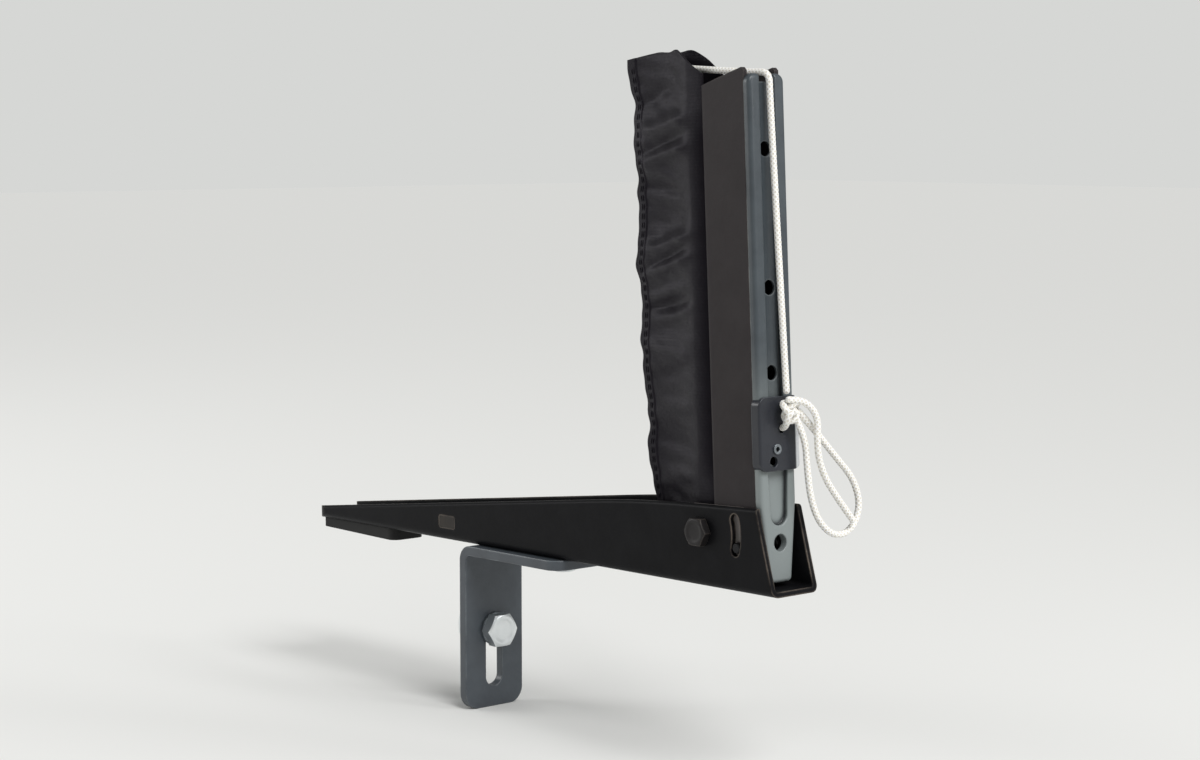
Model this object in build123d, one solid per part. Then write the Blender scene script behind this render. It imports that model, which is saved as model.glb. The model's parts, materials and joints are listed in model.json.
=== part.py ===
from build123d import *
import os
from math import atan2, cos, degrees, pi, radians, sin, tan

# Table tennis net clamp: a sheet steel arm that lies over the table's edge, bolted to the table's frame
# by an L-shaped strap, with a net post pivoted in its outer end.
# Millimetres. +X runs outwards along the net line, +Y along the table, +Z up. The origin is on the
# strap's back face, on the axis of its clamping bolt.

# Clearances
running_gap = 0.06         # radial, of a pin that turns in its hole
loose_gap = 0.25           # radial, of a pin that moves along a slot
seat_gap = 0.05            # between a washer and the face that slides under it
overrun = 1.0              # how far a cut runs past the faces that it opens
overlap = 0.1              # how far two blocks of one piece run into each other

# Arm: a U-channel, open on top, that rises towards its outer end
arm_reach_in = 86.0        # from the strap's back to the tip that lies on the table
arm_reach_out = 138.0      # from the strap's back to the outer end
arm_inner_width = 14.4
arm_sheet = 1.5
arm_tip_height = 3.6
arm_crest_height = 22.3
arm_end_height = 23.9
arm_crest_from_end = 54.0  # where the top edge's steep part meets its nearly level one
arm_crest_radius = 600.0
arm_end_slant = 6.6        # the outer end leans back by this much at the top
arm_bend_radius = 2.2
arm_rim = 1.0              # the walls' top edges are rounded over on the outside
arm_tip_flat = 1.7         # half of the straight edge left between the tip's round corners
arm_tilt = 1.15            # degrees
table_above_bolt = 22.8    # from the clamping bolt's axis up to the table top
table_gap = 4.8            # from the table top up to the arm's floor, at the strap

# Pad under the tip
pad_length = 42.0
pad_side = 2.2             # from the pad's edge to the arm's
pad_tip_gap = 1.5
pad_corner = 3.2
pad_rivet_radius = 1.5
pad_rivet_head = 3.0
pad_rivet_head_height = 0.9
pad_rivet_pitch = 20.0
pad_recess_gap = 0.2       # round the rivet's foot
pad_recess_depth = 1.2
pad_rivet_lift = 0.7       # from the table top up to the rivet's foot

# Flat bar that ties the channel's walls together between tip and strap, riveted over flush
cross_place = (-10.0, 5.9) # its centre: from the strap's back, and above the floor's underside
cross_width = 8.0
cross_thickness = 3.8
cross_edge = 0.6

# Strap
strap_thickness = 3.0
strap_width = 22.4
strap_drop = 25.0          # below the bolt axis
strap_leg = 48.0
strap_corner = 5.0
strap_bend_radius = 2.0
slot_gap = 0.3             # each side of the bolt
slot_low = -18.5
slot_high = 4.3
strap_rivet_radius = 2.5
strap_rivet_head = 4.2
strap_rivet_height = 2.0
strap_rivet_first = 16.0
strap_rivet_from_end = 10.0

# Clamping bolt
bolt_radius = 3.0
bolt_across = 10.0
bolt_head_height = 4.0
bolt_thread_end = 2.85     # past the nut
bolt_chamfer = 0.4
washer_radius = 5.2
washer_thickness = 1.0
nut_height = 5.0
frame_plate = 3.0          # thickness of the table's plate held between strap and nut

# Pivot
pivot_from_end = 28.93
pivot_from_top = 8.35     # from the arm's full height at its outer end
pivot_radius = 2.5
pivot_across = 7.6
pivot_head_height = 2.6
pivot_thread_end = 1.5
bush_wall = 1.84
guide_reach = 14.6         # from pivot to guide pin
guide_radius = 1.5
guide_angle = -13.0        # degrees above the arm's floor line, at rest
guide_end_gap = 0.15       # the pin's end stands back from the arm's outer face
guide_clip_wall = 1.5
guide_clip_thickness = 0.8
tilt_out = 1.5             # degrees that the post may tip outwards
tilt_in = 30.0             # degrees that the post may tip inwards
shim_thickness = 0.4
shim_side_gap = 0.1
shim_radius = 17.6
shim_top = 7.6
shim_in = 4.0

# Post
post_lean = 3.0            # degrees from the vertical, towards the net
post_sheet = 1.5
post_inner = 2.8           # from pivot axis to the post's inner face
post_outer = 20.7          # from pivot axis to the flange edges
post_bend_radius = 2.0
post_peak = 127.8          # height of the flanges above the pivot, at their outer edge
post_slant = 4.2           # the flange tops fall by this much towards the inner face
post_peak_chamfer = 0.8
web_low = 5.2
lug_high = 6.4             # the lugs stay below the arm's top edge
lug_gusset = 0.8           # how far their top edge rises up to the post's inner face
foot_floor_gap = 5.2
foot_chamfer = 3.8

# Face bar
bar_thickness = 2.3
bar_from_peak = 1.8
bar_corner = 2.4
bar_edge = 1.1
groove_edge = 0.4
tongue_shoulder = 9.0
tongue_floor_gap = 0.6
tongue_width = 8.6
tongue_corner = 1.4
groove_width = 5.6
groove_depth = 1.5
pocket_width = 9.0
pocket_tip_radius = 3.2
pocket_low = 2.4
pocket_high = 36.0
notch_depth = 2.2          # of the notch in the bar's top, which the cord runs over
tongue_hole_radius = 2.4
hole_radius = 2.1
hole_pitch = 23.4
hole_first = -2.4
hole_count = 4
hole_from_top = 20.4

# Net rod with its clips, and the black end sleeve of the net
rod_from_post = 7.0        # from the rod's axis to the post's inner face
rod_radius = 2.4
rod_low = 5.4
rod_from_peak = 3.2
rod_chamfer = 0.5
clip_height = 4.6
clip_from_rod_end = 0.5
clip_from_rod_top = 0.4
clip_base_thickness = 1.2
clip_base_width = 7.0
clip_ring_wall = 1.7
clip_neck_width = 4.0
sleeve_low = 3.2
sleeve_over_peak = 7.4
sleeve_outer = 6.4         # from the rod's axis to the edge on the post's side
sleeve_fold = 4.9          # from the rod's axis to the edge of the cuts that let the clips through
# The edge on the net's side: (share of the post's height, distance from the pivot)
sleeve_edge = [(0.02, 27.0), (0.39, 30.6), (0.59, 31.2), (0.81, 30.3), (1.045, 33.0)]
sleeve_clip_gap = 1.2
sleeve_half_rod = 4.6      # half thickness over the rod, and at the edge
sleeve_half_edge = 1.2
sleeve_rod_gap = 0.6

# Tension slider
slider_low = 17.6
slider_height = 20.4
slider_sheet = 1.0
slider_lip = 0.8
slider_lip_depth = 2.2
slider_edge = 0.72
slider_corner = 2.5
slider_gap = 0.1
cord_eye_place = (0.8, 29.2)
cord_eye_radius = 1.4
eyelet_place = (-1.4, 23.6)
eyelet_barrel = 1.1
eyelet_front_rim = 1.4
eyelet_inner = 0.7
eyelet_rim_thickness = 0.5
slider_hole_place = (-2.6, 20.2)
slider_hole_radius = 1.5

# Cord: each route is a list of (outwards from the pivot, along the table, up the post)
cord_diameter = 2.0
knot_place = (27.1, 1.2, 34.2)
knot_size = (5.6, 7.6, 7.8)
knot_round = 2.4
run_route = [(-11.0, 0.0, 129.8), (23.1, 0.5, 125.9), (25.8, 1.3, 38.5)]
run_radii = [2.6]          # round the top of the bar
loop_route = [
    (27.0, 3.2, 32.0), (27.6, 6.2, 26.5), (27.6, 6.6, 17.5), (27.4, 7.8, 9.0), (27.3, 11.0, 2.2),
    (27.2, 17.0, -2.2), (27.2, 23.6, -1.2), (27.2, 27.6, 5.2), (27.4, 25.0, 13.2), (27.6, 17.6, 20.2),
    (27.8, 10.2, 27.6), (27.6, 3.4, 34.2),
]
tail_route = [
    (28.0, -1.2, 37.3), (29.2, 3.0, 37.1), (30.1, 6.5, 34.8), (30.5, 8.4, 31.1), (30.4, 8.0, 26.5),
    (30.0, 8.6, 20.6), (29.7, 11.4, 14.6), (29.5, 15.8, 9.2), (29.3, 19.8, 4.8), (29.2, 22.8, 1.4),
]

# Sizes that follow from the ones above
arm_width = arm_inner_width + 2 * arm_sheet
arm_floor_height = table_gap + table_above_bolt
arm_place = Pos(0, 0, arm_floor_height) * Rot(0, -arm_tilt, 0)
strap_rivet_places = (strap_rivet_first, strap_leg - strap_rivet_from_end)
pivot_place = (arm_reach_out - pivot_from_end, arm_end_height - pivot_from_top)
pivot_world = (arm_place * Pos(pivot_place[0], 0, pivot_place[1])).position
post_place = Pos(*pivot_world) * Rot(0, -post_lean, 0)
post_width = arm_inner_width - 2 * (shim_thickness + shim_side_gap)
post_inside = post_width / 2 - post_sheet
post_floor = pivot_place[1] - arm_sheet
lug_radius = post_floor - foot_floor_gap
tongue_low = tongue_floor_gap - post_floor
bar_top = post_peak - bar_from_peak
rod_out = post_inner - rod_from_post
bar_face = post_outer + bar_thickness
slider_back = bar_face + slider_gap
slider_high = slider_low + slider_height
rod_high = post_peak - rod_from_peak
clip_lows = (rod_low + clip_from_rod_end, rod_high - clip_from_rod_top - clip_height)


def xz_face(points):
    """A flat outline in the plane across the part, closed."""
    return Plane.XZ * make_face(Polyline(*points, close=True))


def xz_prism(points, width):
    """The same outline made as wide as given, centred on y = 0."""
    return extrude(xz_face(points), width / 2, both=True)


def slab(x, y, z):
    """A box given by the low and high value of each side."""
    size = (x[1] - x[0], y[1] - y[0], z[1] - z[0])
    return Pos((x[0] + x[1]) / 2, (y[0] + y[1]) / 2, (z[0] + z[1]) / 2) * Box(*size)


def rod_y(place, radius, y_low, y_high):
    """A cylinder along y, at (x, z)."""
    middle = Pos(place[0], (y_low + y_high) / 2, place[1])
    return middle * Rot(90, 0, 0) * Cylinder(radius, y_high - y_low)


def rod_x(place, radius, x_low, x_high):
    """A cylinder along x, at (y, z)."""
    middle = Pos((x_low + x_high) / 2, place[0], place[1])
    return middle * Rot(0, 90, 0) * Cylinder(radius, x_high - x_low)


def rod_z(place, radius, z_low, z_high):
    """A cylinder along z, at (x, y)."""
    return Pos(place[0], place[1], (z_low + z_high) / 2) * Cylinder(radius, z_high - z_low)


def hexagon(across, low, high, turn=0):
    """A hexagonal head or nut along z, its top corners taken off by a cone."""
    flat = extrude(Rot(0, 0, turn) * RegularPolygon(across / 2, 6, major_radius=False), high - low)
    block = Pos(0, 0, low) * flat
    height = high - low
    cone_low = across / 2 + height * tan(radians(60))
    cone = Pos(0, 0, (low + high) / 2) * Cone(cone_low, across / 2, height)
    return block & cone


def grown_box(points, low, high):
    """A y-z outline made thick along x, from low to high."""
    face = Plane.YZ * make_face(Polyline(*points, close=True))
    return Pos(low, 0, 0) * extrude(face, high - low)


def stadium_x(low, high, width, x_low, x_high):
    """An upright slot with round ends, cut along x: low and high are its two ends."""
    radius = width / 2
    middle = slab((x_low, x_high), (-radius, radius), (low + radius, high - radius))
    ends = rod_x((0, low + radius), radius, x_low, x_high) + rod_x((0, high - radius), radius, x_low, x_high)
    return middle + ends


# ---- arm, in its own frame: x along its floor from the strap's back, z up from the floor's underside

def arm_outline():
    """The wall's outline: low at the tip, with an arc where the top edge's two straight parts meet."""
    crest = arm_reach_out - arm_crest_from_end
    rise = arm_end_height - arm_crest_height
    steep = atan2(arm_crest_height - arm_tip_height, crest + arm_reach_in)
    gentle = atan2(rise, arm_crest_from_end - arm_end_slant)
    half_turn = (steep - gentle) / 2
    middle = (steep + gentle) / 2
    reach = arm_crest_radius * tan(half_turn)
    drop = arm_crest_radius * (1 / cos(half_turn) - 1)
    arc_start = (crest - reach * cos(steep), arm_crest_height - reach * sin(steep))
    arc_middle = (crest + drop * sin(middle), arm_crest_height - drop * cos(middle))
    arc_end = (crest + reach * cos(gentle), arm_crest_height + reach * sin(gentle))
    sides = Polyline(arc_end, (arm_reach_out - arm_end_slant, arm_end_height), (arm_reach_out, 0),
                     (-arm_reach_in, 0), (-arm_reach_in, arm_tip_height), arc_start)
    return sides + ThreePointArc(arc_start, arc_middle, arc_end)


def make_arm():
    outside = extrude(Plane.XZ * make_face(arm_outline()), arm_width / 2, both=True)
    rims = [e for e in outside.edges() if abs(e.center().Y) > arm_inner_width / 2
            and e.center().Z > arm_tip_height and e.center().X < arm_reach_out - arm_end_slant]
    outside = fillet(rims, arm_rim)
    bends = outside.edges().filter_by(Axis.X).group_by(Axis.Z)[0]
    outside = fillet(bends, arm_bend_radius)
    tip_radius = arm_width / 2 - arm_tip_flat
    plan = Pos((arm_reach_out - arm_reach_in) / 2 + tip_radius, 0, 0) * RectangleRounded(
        arm_reach_in + arm_reach_out + 2 * tip_radius, arm_width, tip_radius)
    outside = outside & extrude(plan, arm_end_height + overrun)
    hollow = slab((-arm_reach_in - overrun, arm_reach_out + overrun),
                  (-arm_inner_width / 2, arm_inner_width / 2), (arm_sheet, arm_end_height + overrun))
    hollow = fillet(hollow.edges().filter_by(Axis.X).group_by(Axis.Z)[0], arm_bend_radius - arm_sheet)
    arm = outside - hollow
    through = arm_width / 2 + overrun
    arm -= cross_bar(2 * through)
    arm -= rod_y(pivot_place, pivot_radius + seat_gap, -through, through)
    arm -= guide_slot(through)
    for place in strap_rivet_places:
        arm -= rod_z((place, 0), strap_rivet_radius, -overrun, arm_sheet + overrun)
    for place in pad_rivet_places():
        arm -= rod_z((place, 0), pad_rivet_radius, -overrun, arm_sheet + overrun)
    return arm


def guide_slot(through):
    """The curved slots in both walls, round the pivot, for the guide pin."""
    radius = guide_radius + loose_gap
    spare = degrees(loose_gap / guide_reach)
    first = guide_angle - tilt_out - spare
    last = guide_angle + tilt_in + spare
    arc = CenterArc((pivot_place[0], pivot_place[1]), guide_reach, first, last - first)
    return extrude(Plane.XZ * SlotArc(arc, 2 * radius), through, both=True)


def pad_rivet_places():
    middle = -arm_reach_in + pad_tip_gap + pad_length / 2
    return (middle - pad_rivet_pitch / 2, middle + pad_rivet_pitch / 2)


def make_pad():
    """A wedge that fills the gap between the sloping floor and the level table top."""
    low = -arm_reach_in + pad_tip_gap
    half = arm_width / 2 - pad_side
    depth = 2 * (table_gap + pad_length * sin(radians(arm_tilt)))
    block = slab((low, low + pad_length), (-half, half), (-depth, 0))
    block = fillet(block.edges().filter_by(Axis.Z), pad_corner)
    for place in pad_rivet_places():
        block -= rod_z((place, 0), pad_rivet_radius, -depth - overrun, overrun)
    above_table = slab((-arm_reach_in, 0), (-arm_width, arm_width), (table_above_bolt, 2 * arm_floor_height))
    pad = (arm_place * block) & above_table
    for place in pad_rivet_places():
        foot = (arm_place * Pos(place, 0, 0)).position
        recess = (table_above_bolt - overrun, table_above_bolt + pad_recess_depth)
        pad -= rod_z((foot.X, 0), pad_rivet_head + pad_recess_gap, *recess)
    return pad


def make_pad_rivets():
    """Rivets headed inside the channel; their feet stay clear of the table, in the pad's recesses."""
    group = []
    for place in pad_rivet_places():
        head = rod_z((place, 0), pad_rivet_head, arm_sheet, arm_sheet + pad_rivet_head_height)
        head = fillet(head.edges().group_by(Axis.Z)[-1], pad_rivet_head_height / 2)
        foot_height = (arm_place * Pos(place, 0, 0)).position.Z - table_above_bolt
        rivet = head + rod_z((place, 0), pad_rivet_radius, pad_rivet_lift - foot_height, arm_sheet + overlap)
        group.append(arm_place * rivet)
    return Compound(group)


def hex_bolt(radius, across, head_height, head_low, tail):
    """A hexagon bolt along z: head from head_low up, shank down to tail."""
    head = hexagon(across, head_low, head_low + head_height)
    shank = rod_z((0, 0), radius, tail, head_low + overlap)
    shank = chamfer(shank.edges().group_by(Axis.Z)[0], bolt_chamfer)
    return head + shank


def across_arm(piece, place):
    """Turns a piece made along z so that its head stands on the near wall, at (x, z) in the arm's frame."""
    return arm_place * Pos(place[0], 0, place[1]) * Rot(90, 0, 0) * piece


def cross_bar(length):
    """The tie bar, or the holes for it, in the arm's frame."""
    bar = Pos(cross_place[0], 0, cross_place[1]) * Box(cross_width, length, cross_thickness)
    return fillet(bar.edges().filter_by(Axis.Y), cross_edge)


# ---- strap: an L whose level leg lies flat against the sloping floor

def make_strap():
    t = strap_thickness
    rise = tan(radians(arm_tilt))
    end = (arm_place * Pos(strap_leg, 0, 0)).position
    under = (arm_place * Pos(strap_leg, 0, -t)).position
    inner_height = arm_floor_height + t * rise - t / cos(radians(arm_tilt))
    profile = [
        (0, -strap_drop), (t, -strap_drop), (t, inner_height), (under.X, under.Z), (end.X, end.Z),
        (0, arm_floor_height),
    ]
    strap = xz_prism(profile, strap_width)
    inner = strap.edges().filter_by(Axis.Y).sort_by_distance((t, 0, inner_height))[0]
    strap = fillet(inner, strap_bend_radius)
    outer = strap.edges().filter_by(Axis.Y).sort_by_distance((0, 0, arm_floor_height))[0]
    strap = fillet(outer, strap_bend_radius + t)
    feet = strap.edges().filter_by(Axis.X).group_by(Axis.Z)[0]
    strap = fillet(feet, strap_corner)
    leg_ends = strap.edges().filter_by(lambda e: e.length < t + overlap).group_by(Axis.X)[-1]
    corners = leg_ends.filter_by(lambda e: abs(e.center().Y) > strap_width / 2 - overlap)
    strap = fillet(corners, strap_corner)
    strap -= stadium_x(slot_low, slot_high, 2 * (bolt_radius + slot_gap), -overrun, t + overrun)
    for place in strap_rivet_places:
        strap -= arm_place * rod_z((place, 0), strap_rivet_radius, -t - overrun, overrun)
    return strap


def make_strap_rivets():
    group = []
    for place in strap_rivet_places:
        rivet = rod_z((place, 0), strap_rivet_radius, -strap_thickness - overlap, arm_sheet + overlap)
        for base, side in ((arm_sheet, 1), (-strap_thickness, -1)):
            low, high = sorted((base, base + side * strap_rivet_height))
            head = rod_z((place, 0), strap_rivet_head, low, high)
            rim = head.edges().group_by(Axis.Z)[-1 if side > 0 else 0]
            rivet += fillet(rim, 0.8 * strap_rivet_height)
        group.append(arm_place * rivet)
    return Compound(group)


# ---- clamping bolt, along x, at the origin

def along_x(piece):
    return Rot(0, 90, 0) * piece


def make_clamp_bolt():
    head_low = strap_thickness + seat_gap + washer_thickness
    tail = -frame_plate - seat_gap - washer_thickness - nut_height - bolt_thread_end
    return along_x(hex_bolt(bolt_radius, bolt_across, bolt_head_height, head_low, tail))


def make_clamp_washers():
    group = []
    for low in (strap_thickness + seat_gap, -frame_plate - seat_gap - washer_thickness):
        high = low + washer_thickness
        ring = rod_z((0, 0), washer_radius, low, high)
        ring -= rod_z((0, 0), bolt_radius + loose_gap, low - overrun, high + overrun)
        group.append(along_x(ring))
    return Compound(group)


def make_clamp_nut():
    high = -frame_plate - seat_gap - washer_thickness
    nut = Rot(180, 0, 0) * hexagon(bolt_across, -high, -high + nut_height)
    return along_x(nut - rod_z((0, 0), bolt_radius, high - nut_height - overrun, high + overrun))


# ---- pivot pieces

def make_pivot_bolt():
    half = arm_width / 2
    tail = -half - pivot_head_height - pivot_thread_end
    bolt = hex_bolt(pivot_radius, pivot_across, pivot_head_height, half, tail)
    return across_arm(bolt, pivot_place)


def make_pivot_nut():
    half = arm_width / 2
    nut = Rot(180, 0, 0) * hexagon(pivot_across, half, half + pivot_head_height)
    return across_arm(nut - rod_z((0, 0), pivot_radius, -2 * half, 2 * half), pivot_place)


def make_pivot_bush():
    bore = pivot_radius + running_gap
    bush = rod_y((0, 0), bore + bush_wall, -post_inside, post_inside)
    return post_place * (bush - rod_y((0, 0), bore, -post_width, post_width))


def guide_place():
    """The guide pin's place in the post's frame."""
    turn = radians(guide_angle + arm_tilt - post_lean)
    return (guide_reach * cos(turn), guide_reach * sin(turn))


def make_guide_pin():
    reach = arm_width / 2 - guide_end_gap
    pin = rod_y(guide_place(), guide_radius, -reach, reach)
    return post_place * chamfer(pin.edges().filter_by(GeomType.CIRCLE), 2 * guide_end_gap)


def make_guide_clips():
    """Retaining rings on the guide pin, against the inside of each flange."""
    group = []
    for side in (-1, 1):
        low, high = sorted((side * post_inside, side * (post_inside - guide_clip_thickness)))
        ring = rod_y(guide_place(), guide_radius + guide_clip_wall, low, high)
        group.append(post_place * (ring - rod_y(guide_place(), guide_radius, low - overrun, high + overrun)))
    return Compound(group)


def make_pivot_shims():
    """Thin sliding plates on the outside of both flanges, round the pivot and behind the curved slots."""
    group = []
    for side in (-1, 1):
        low, high = sorted((side * post_width / 2, side * (post_width / 2 + shim_thickness)))
        disc = rod_y((0, 0), shim_radius, low, high)
        past = (low - overrun, high + overrun)
        disc = disc & slab((-shim_in, shim_radius), past, (-lug_radius, shim_top))
        disc -= rod_y((0, 0), pivot_radius + loose_gap, *past)
        disc -= rod_y(guide_place(), guide_radius, *past)
        group.append(post_place * disc)
    return Compound(group)


# ---- post, in its own frame: x outwards and z up from the pivot

def make_post_channel():
    foot_low = -lug_radius
    lug_top = lug_high + lug_gusset
    outline = [
        (post_inner, post_peak - post_slant), (post_outer - post_peak_chamfer, post_peak),
        (post_outer, post_peak - post_peak_chamfer), (post_outer, foot_low + foot_chamfer),
        (post_outer - foot_chamfer, foot_low), (0, foot_low), (0, lug_high), (post_inner, lug_top),
    ]
    wide = (-post_width / 2, post_width / 2)
    lug = rod_y((0, 0), lug_radius, *wide) & slab((-lug_radius, lug_radius), wide, (foot_low, lug_high))
    post = xz_prism(outline, post_width) + lug
    bends = [e for e in post.edges().filter_by(Axis.Z) if abs(e.center().X - post_inner) < overlap]
    post = fillet(bends, post_bend_radius)
    between = (-post_inside, post_inside)
    under = foot_low - overrun
    post -= slab((post_inner + post_sheet, post_outer + overrun), between, (under, post_peak + overrun))
    post -= slab((-2 * lug_radius, post_inner + post_sheet), between, (under, web_low))
    post -= slab((-2 * lug_radius, post_inner), between, (under, lug_top + overrun))
    reach = post_width / 2 + overrun
    post -= rod_y((0, 0), pivot_radius + running_gap, -reach, reach)
    post -= rod_y(guide_place(), guide_radius, -reach, reach)
    return post_place * post


def bar_outline():
    half = post_width / 2
    tip = tongue_width / 2
    return [
        (-half, tongue_shoulder), (-tip, tongue_low), (tip, tongue_low), (half, tongue_shoulder),
        (half, bar_top), (-half, bar_top),
    ]


def make_face_bar():
    """A pressed bar: a groove for the cord runs down its face into a drop-shaped pocket behind the slider."""
    bar = grown_box(bar_outline(), post_outer, bar_face)
    corners = bar.edges().filter_by(Axis.X)
    bar = fillet(corners.group_by(Axis.Z)[-1], bar_corner)
    bar = fillet(bar.edges().filter_by(Axis.X).group_by(Axis.Z)[0], tongue_corner)
    bar = fillet(bar.edges().group_by(Axis.X)[-1], bar_edge)
    bar -= pocket(bar_face - groove_depth, bar_face + overrun)
    half = pocket_width / 2 + overlap
    rim = bar.edges().group_by(Axis.X)[-1].filter_by_position(Axis.Y, -half, half)
    bar = fillet(rim.filter_by_position(Axis.Z, pocket_low - overlap, bar_top - overlap), groove_edge)
    through = (post_outer - overrun, bar_face + overrun)
    half = groove_width / 2
    bar -= slab(through, (-half, half), (bar_top - notch_depth, bar_top + overrun))
    for height in hole_heights():
        radius = tongue_hole_radius if height < tongue_shoulder else hole_radius
        bar -= rod_x((0, height), radius, *through)
    return post_place * bar


def pocket(low, high):
    """The groove with its drop-shaped end, cut along x from low to high."""
    side = (-groove_width / 2, groove_width / 2)
    groove = slab((low, high), side, (pocket_high - pocket_width, bar_top + overrun))
    wide = pocket_width / 2
    tip = Pos(0, pocket_low + pocket_tip_radius) * Circle(pocket_tip_radius)
    top = Pos(0, pocket_high - wide) * Circle(wide)
    drop = Plane.YZ * make_hull([*tip.edges(), *top.edges()])
    return groove + Pos(low, 0, 0) * extrude(drop, high - low)


def hole_heights():
    return [hole_first + n * hole_pitch for n in range(hole_count)] + [bar_top - hole_from_top]


# ---- net end: rod, clips and sleeve

def make_net_rod():
    rod = rod_z((rod_out, 0), rod_radius, rod_low, rod_high)
    return post_place * chamfer(rod.edges().filter_by(GeomType.CIRCLE), rod_chamfer)


def make_rod_clips():
    group = []
    for low in clip_lows:
        high = low + clip_height
        base_in = post_inner - clip_base_thickness
        ring = rod_z((rod_out, 0), rod_radius + clip_ring_wall, low, high)
        neck = slab((rod_out, base_in + overlap), (-clip_neck_width / 2, clip_neck_width / 2), (low, high))
        base = slab((base_in, post_inner), (-clip_base_width / 2, clip_base_width / 2), (low, high))
        clip = ring + neck + base
        group.append(post_place * (clip - rod_z((rod_out, 0), rod_radius, low - overrun, high + overrun)))
    return Compound(group)


def sleeve_outline():
    """The sleeve laid flat: its wavy edge on the net's side, and the cut-outs for the two clips."""
    high = post_peak + sleeve_over_peak
    top_cut = clip_lows[1] - sleeve_clip_gap
    low_cut = clip_lows[0] + clip_height + sleeve_clip_gap
    edge = [(-out, share * post_peak) for share, out in sleeve_edge]
    fold = rod_out - sleeve_fold
    outer = rod_out + sleeve_outer
    return edge + [
        (fold, high), (fold, top_cut), (outer, top_cut),
        (outer, low_cut), (fold, low_cut), (fold, sleeve_low),
    ]


def make_net_sleeve():
    """A flat fabric pocket: thickest round the rod and thin at its edge on the net side."""
    left = max(out for share, out in sleeve_edge)
    high = post_peak + sleeve_over_peak + overrun
    thick = sleeve_half_rod
    section = [
        (-left, sleeve_half_edge), (rod_out - 3 * thick, thick / 2), (rod_out - thick / 2, thick),
        (rod_out + thick / 2, thick), (rod_out + sleeve_outer, 2 / 3 * thick),
    ]
    section += [(x, -y) for x, y in reversed(section)]
    body = extrude(make_face(Polyline(*section, close=True)), high)
    body = body & xz_prism(sleeve_outline(), 4 * thick)
    body -= rod_z((rod_out, 0), rod_radius + sleeve_rod_gap, 0, high)
    return post_place * body


# ---- tension slider

def make_slider():
    front = slider_back + slider_sheet
    height = (slider_low, slider_high)
    half = post_width / 2 + slider_gap
    plate = slab((slider_back, front), (-half - slider_lip, half + slider_lip), height)
    for side in (-1, 1):
        lip = sorted((side * half, side * (half + slider_lip)))
        plate += slab((slider_back - slider_lip_depth, slider_back + overlap), lip, height)
    outer = [e for e in plate.edges().filter_by(Axis.Z) if e.center().X > front - overlap]
    plate = fillet(outer, slider_edge)
    mask = Plane.YZ * RectangleRounded(2 * (half + slider_lip), slider_height, slider_corner)
    mask = Pos(0, 0, (slider_low + slider_high) / 2) * extrude(mask, 2 * slider_back)
    plate = plate & mask
    plate -= rod_x(cord_eye_place, cord_eye_radius, slider_back - overrun, front + overrun)
    plate -= rod_x(eyelet_place, eyelet_barrel, slider_back - overrun, front + overrun)
    plate -= rod_x(slider_hole_place, slider_hole_radius, slider_back - overrun, front + overrun)
    return post_place * plate


def make_eyelet():
    """An eyelet pressed into the slider; its barrel is small enough to run up the bar's groove."""
    front = slider_back + slider_sheet
    low = slider_back - eyelet_rim_thickness
    high = front + eyelet_rim_thickness
    eyelet = rod_x(eyelet_place, eyelet_barrel, low, high)
    eyelet += rod_x(eyelet_place, eyelet_front_rim, front, high)
    return post_place * (eyelet - rod_x(eyelet_place, eyelet_inner, low - overrun, high + overrun))


# ---- cord

def cord_radii(route):
    """Each bend's radius: as large as its two runs allow."""
    points = [Vector(*p) for p in route]
    radii = []
    for a, b, c in zip(points, points[1:], points[2:]):
        half_turn = radians((b - a).get_angle(c - b)) / 2
        shorter = min((b - a).length, (c - b).length)
        radii.append(0.45 * shorter / tan(half_turn))
    return radii


def make_cord(name, route, radii=None):
    radii = radii or cord_radii(route)
    path = FilletPolyline(*route, radius=radii)
    start = Plane(origin=route[0], z_dir=Vector(*route[1]) - Vector(*route[0]))
    tube = sweep(start * Circle(cord_diameter / 2), path=path)
    section = pi * cord_diameter**2 / 4
    print(name, "length", round(path.length, 1), "radii", [round(r, 1) for r in radii],
          "volume share", round(tube.volume / (section * path.length), 4))
    return post_place * tube


def make_knot():
    return post_place * Pos(*knot_place) * fillet(Box(*knot_size).edges(), knot_round)


parts = {
    "arm_channel": arm_place * make_arm(),
    "tip_pad": make_pad(),
    "pad_rivets": make_pad_rivets(),
    "cross_bar": arm_place * cross_bar(arm_width),
    "strap_bracket": make_strap(),
    "strap_rivets": make_strap_rivets(),
    "pivot_bolt": make_pivot_bolt(),
    "pivot_nut": make_pivot_nut(),
    "clamp_bolt": make_clamp_bolt(),
    "clamp_washers": make_clamp_washers(),
    "clamp_nut": make_clamp_nut(),
    "post_channel": make_post_channel(),
    "face_bar": make_face_bar(),
    "pivot_bush": make_pivot_bush(),
    "pivot_shims": make_pivot_shims(),
    "guide_pin": make_guide_pin(),
    "guide_clips": make_guide_clips(),
    "net_rod": make_net_rod(),
    "rod_clips": make_rod_clips(),
    "net_sleeve": make_net_sleeve(),
    "tension_slider": make_slider(),
    "slider_eyelet": make_eyelet(),
    "cord_knot": make_knot(),
    "cord_run": make_cord("cord_run", run_route, run_radii),
    "cord_loop": make_cord("cord_loop", loop_route),
    "cord_tail": make_cord("cord_tail", tail_route),
}

os.makedirs("parts", exist_ok=True)
for name, part in parts.items():
    part.label = name
    export_step(part, f"parts/{name}.step")
print("pivot", [round(v, 3) for v in pivot_world])
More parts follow.
